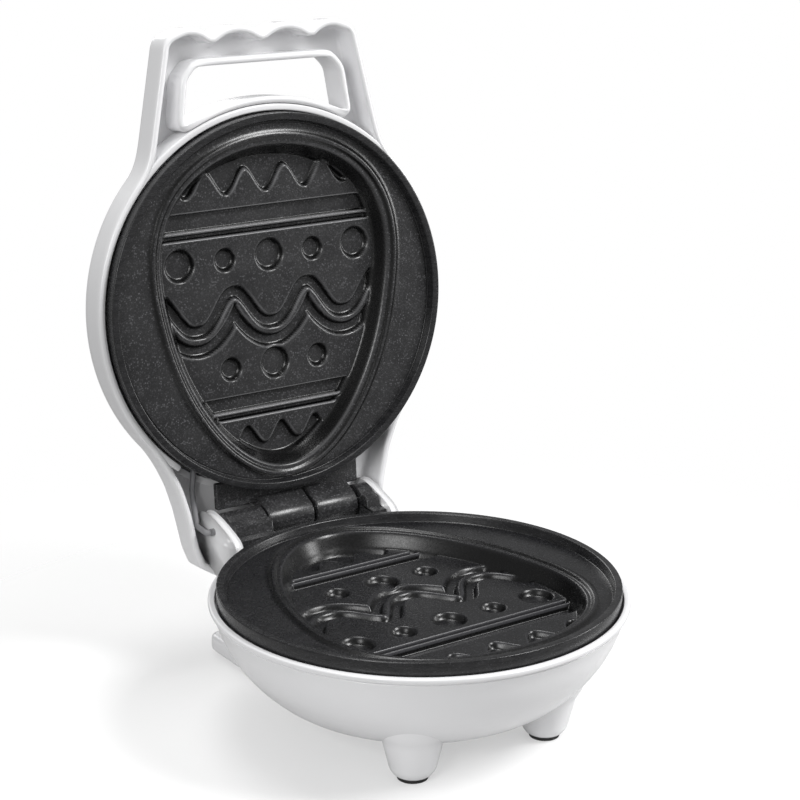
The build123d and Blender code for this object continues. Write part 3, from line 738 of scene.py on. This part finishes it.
def plate_guard():
    """The round wall inside the lid that stands about the plate, raised where the apron passes."""
    a = np.linspace(0, 2 * np.pi, 240, endpoint=False)
    x = SHELL_RADIUS * np.cos(a)
    raised = (1 - ease(np.abs(x), 36.0, 39.0)) * (np.sin(a) > 0) * 8.0
    inner, outer, low, high = 59.15, 61.2, 47.72, 57.0
    profile = rounded([(inner, high), (inner, low), (outer, low), (outer, high)], 0.7)
    share = np.clip((high - profile[:, 1]) / 9.3, 0, 1)
    r = profile[:, 0][:, None]
    points = np.stack([r * np.cos(a), r * np.sin(a), profile[:, 1][:, None] + share[:, None] * raised], -1)
    return points, grid_faces(len(profile), len(a), wrap_columns=True)


def outward(piece):
    """Merges doubled points and turns all faces outwards."""
    work = bmesh.new()
    work.from_mesh(piece.data)
    bmesh.ops.remove_doubles(work, verts=work.verts, dist=1e-7)
    bmesh.ops.recalc_face_normals(work, faces=work.faces)
    work.to_mesh(piece.data)
    work.free()
    return piece


def shell_piece(name, points, faces, body, sharp):
    """A white moulded piece that takes the place of part of the body's shell."""
    placed = opened(points) if body == "lid" else points
    piece = outward(new_piece(name, placed, faces, white_plastic, body, sharp=sharp))
    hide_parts(body + "_shell")


shell_piece("lid_cover", *lid_shell_surface(), "lid", sharp=50)
shell_piece("plate_guard", *plate_guard(), "lid", sharp=40)


def bowl_surface():
    """The base bowl: outer side, rim bead with the groove under it, inner side, all spun."""
    outside = rounded([(0, 8.5), (30, 8.5), (38.6, 10.2), (43.9, 13), (49.6, 18), (54.5, 24), (57.7, 30),
                       (59.4, 35), (60.35, 37.2)], 3.2, 7)
    bead = rounded([(60.35, 37.2), (60.5, 37.55), (60.15, 37.85), (60.9, 38.1), (SHELL_RADIUS, 38.7),
                    (61.2, 39.6), (60.6, 39.8), (59.3, 39.8), (59.2, 37.5), (58.0, 36.5)], 0.35, 5)
    inside = rounded([(58.0, 36.5), (57.2, 35), (55.5, 30), (52.3, 24), (47.4, 19.4), (42.2, 15.0),
                      (37.2, 12.2), (29, 10.7), (0, 10.7)], 3.0, 5)
    return spun(np.concatenate([outside, bead[1:], inside[1:]]), 260)


def leg_surface(side):
    """A tapered front leg with a rounded foot and a small flare where it meets the bowl."""
    profile = rounded([(0, PAD_TOP), (4.9, PAD_TOP), (6.55, 2.9), (8.9, 12.6), (10.6, 15.4),
                       (12.0, 19.0)], 1.3, 7)
    return spun(profile, 72, centre=(side * LEG_PLACE[0], LEG_PLACE[1]))


def upright_slab(outline, low, high, edge):
    """A flat (x, y) outline carried upwards with rounded end edges."""
    points, faces = carried(outline, low, high, edge)
    return np.stack([points[:, 1], points[:, 2], points[:, 0]], -1), faces


def base_parts():
    """Bowl, legs, stand, column with its keel, hinge well and the two rounded cheeks."""
    shell_piece("bowl", *bowl_surface(), "base", sharp=35)
    for label, side in (("left", -1), ("right", 1)):
        shell_piece(label + "_leg", *leg_surface(side), "base", sharp=60)
    cheek = rounded([(56, 31.5), (54.3, 40.4), (55.2, 42.9), (59, 44.6), (66, 47.0), (71.5, 48.1),
                     (75.6, 47.3), (78.3, 44.6), (78.6, 41.0), (77.2, 36.8), (74.2, 33.6), (68.5, 31.4),
                     (66.6, 30.2), (56, 30.2)], 2.0, 6)
    for label, low, high in (("left", -CHEEK_OUTER, -CHEEK_INNER), ("right", CHEEK_INNER, CHEEK_OUTER)):
        shell_piece(label + "_cheek", *carried(cheek, low, high, 0.9, 6), "base", sharp=50)
    well = rounded([(50, 28), (52, 35.4), (70, 35.4), (78.0, 38.5), (77.2, 36.6), (74.2, 33.6), (68.5, 31.4),
                    (66.6, 30.2), (58, 28), (50, 28)], 1.0, 4)[:-1]
    shell_piece("hinge_well", *carried(well, -WELL_HALF_WIDTH, WELL_HALF_WIDTH, 0.3), "base", sharp=50)
    column = rounded([(46, 5), (46, 31), (67.4, 31), (65.4, 28), (65.4, 5), (46, 5)], 1.2, 5)[:-1]
    shell_piece("column", *carried(column, -COLUMN_HALF_WIDTH, COLUMN_HALF_WIDTH, 1.2, 6), "base", sharp=50)
    half, front, rear = 28, 30, 77.6
    stand = rounded([(0, front), (half, front), (half, rear), (-half, rear), (-half, front), (0, front)],
                    5.0, 10)[:-1]
    shell_piece("stand", *upright_slab(stand, PAD_TOP, STAND_TOP, 1.2), "base", sharp=50)
    keel = rounded([(28, 5), (28, 13), (50, 26), (60, 28), (60, 5), (28, 5)], 2.0, 4)[:-1]
    shell_piece("keel", *carried(keel, -KEEL_HALF_WIDTH, KEEL_HALF_WIDTH, 1.0, 4), "base", sharp=50)


base_parts()


# camera, floor and light

def camera_place(azimuth, elevation, roll, distance, aside, above):
    """Where the photograph was taken from, as a camera matrix in metres."""
    a, e = math.radians(azimuth), math.radians(elevation)
    back = np.array([math.sin(a) * math.cos(e), -math.cos(a) * math.cos(e), math.sin(e)])
    right = np.array([math.cos(a), math.sin(a), 0.0])
    up = np.cross(back, right)
    aim = np.array([0, 20.0 + MIDDLE_Y, 55.0]) + right * aside + up * above
    r = math.radians(roll)
    right, up = math.cos(r) * right + math.sin(r) * up, math.cos(r) * up - math.sin(r) * right
    place = np.eye(4)
    place[:3, 0], place[:3, 1], place[:3, 2] = right, up, back
    place[:3, 3] = (aim + back * distance) / 1000
    return Matrix(place.tolist())


PHOTO_WIDTH, FOCAL_PIXELS = 800, 1984.79
scene = bpy.context.scene
view = bpy.data.cameras.new("camera")
view.sensor_width = 36.0
view.lens = view.sensor_width * FOCAL_PIXELS / PHOTO_WIDTH
view.clip_start, view.clip_end = 0.05, 20
camera = bpy.data.objects.new("camera", view)
camera.matrix_world = camera_place(azimuth=-34.67, elevation=16.65, roll=0.16, distance=588.78,
                                   aside=5.67, above=36.37)
scene.collection.objects.link(camera)
scene.camera = camera
scene.view_settings.view_transform = "Standard"


def soft_light(name, place, aim, size, power):
    """A flat white lamp at a place in metres, turned to a point."""
    lamp = bpy.data.lights.new(name, "AREA")
    lamp.shape = "RECTANGLE"
    lamp.size, lamp.size_y = size
    lamp.energy = power
    holder = bpy.data.objects.new(name, lamp)
    back = np.array(place, float) - np.array(aim, float)
    back /= np.linalg.norm(back)
    right = np.cross([0, 0, 1.0], back)
    right /= np.linalg.norm(right)
    up = np.cross(back, right)
    turn = np.eye(4)
    turn[:3, 0], turn[:3, 1], turn[:3, 2], turn[:3, 3] = right, up, back, place
    holder.matrix_world = Matrix(turn.tolist())
    scene.collection.objects.link(holder)


def backdrop():
    """A wide level floor just under the feet, pale, that keeps soft shadows and fades out."""
    skin = finish("pale floor", (0.93, 0.93, 0.93), (0.95, 0.95, 0.95), (0.9, 0.95), tone_scale=2,
                  specular=0.0)
    tree = skin.node_tree
    shader = next(node for node in tree.nodes if node.type == "BSDF_PRINCIPLED")
    place = put(tree, "ShaderNodeTexCoord")
    reach = put(tree, "ShaderNodeVectorMath", {0: place.outputs["Object"]}, operation="LENGTH")
    fade = put(tree, "ShaderNodeMapRange", {
        "Value": reach.outputs["Value"], "From Min": 0.07, "From Max": 0.24, "To Min": 0.6, "To Max": 0.0},
        interpolation_type="SMOOTHSTEP")
    tree.links.new(fade.outputs["Result"], shader.inputs["Alpha"])
    side = np.linspace(-2.5, 2.5, 12)
    x, y = np.meshgrid(side, side, indexing="ij")
    mesh = bpy.data.meshes.new("floor")
    points = np.stack([x, y, 0 * x - 0.00002], -1).reshape(-1, 3)
    mesh.from_pydata(points.tolist(), [], grid_faces(12, 12).tolist())
    floor = bpy.data.objects.new("floor", mesh)
    mesh.materials.append(skin)
    scene.collection.objects.link(floor)


def white_surroundings(fill):
    """White behind the object for the camera, and a weaker even light for everything else."""
    world = bpy.data.worlds.new("surroundings")
    world.use_nodes = True
    tree = world.node_tree
    tree.nodes.clear()
    path = put(tree, "ShaderNodeLightPath")
    strength = put(tree, "ShaderNodeMapRange", {
        "Value": path.outputs["Is Camera Ray"], "To Min": fill, "To Max": 1.0})
    glow = put(tree, "ShaderNodeBackground", {"Color": (1, 1, 1, 1), "Strength": strength.outputs[0]})
    put(tree, "ShaderNodeOutputWorld", {"Surface": glow.outputs[0]})
    scene.world = world


backdrop()
white_surroundings(0.26)
soft_light("key", (0.42, -0.50, 0.80), (0, 0, 0.10), (0.30, 0.30), 6.6)
soft_light("top", (-0.05, 0.15, 0.95), (0, 0, 0.08), (0.4, 0.3), 3.2)
soft_light("rear", (0.20, 0.95, 0.55), (0, 0, 0.09), (0.5, 0.4), 2.6)
soft_light("left", (-0.80, -0.45, 0.50), (0, 0, 0.08), (0.4, 0.4), 4.0)
soft_light("right", (0.85, -0.40, 0.25), (0, 0, 0.06), (0.3, 0.4), 3.2)
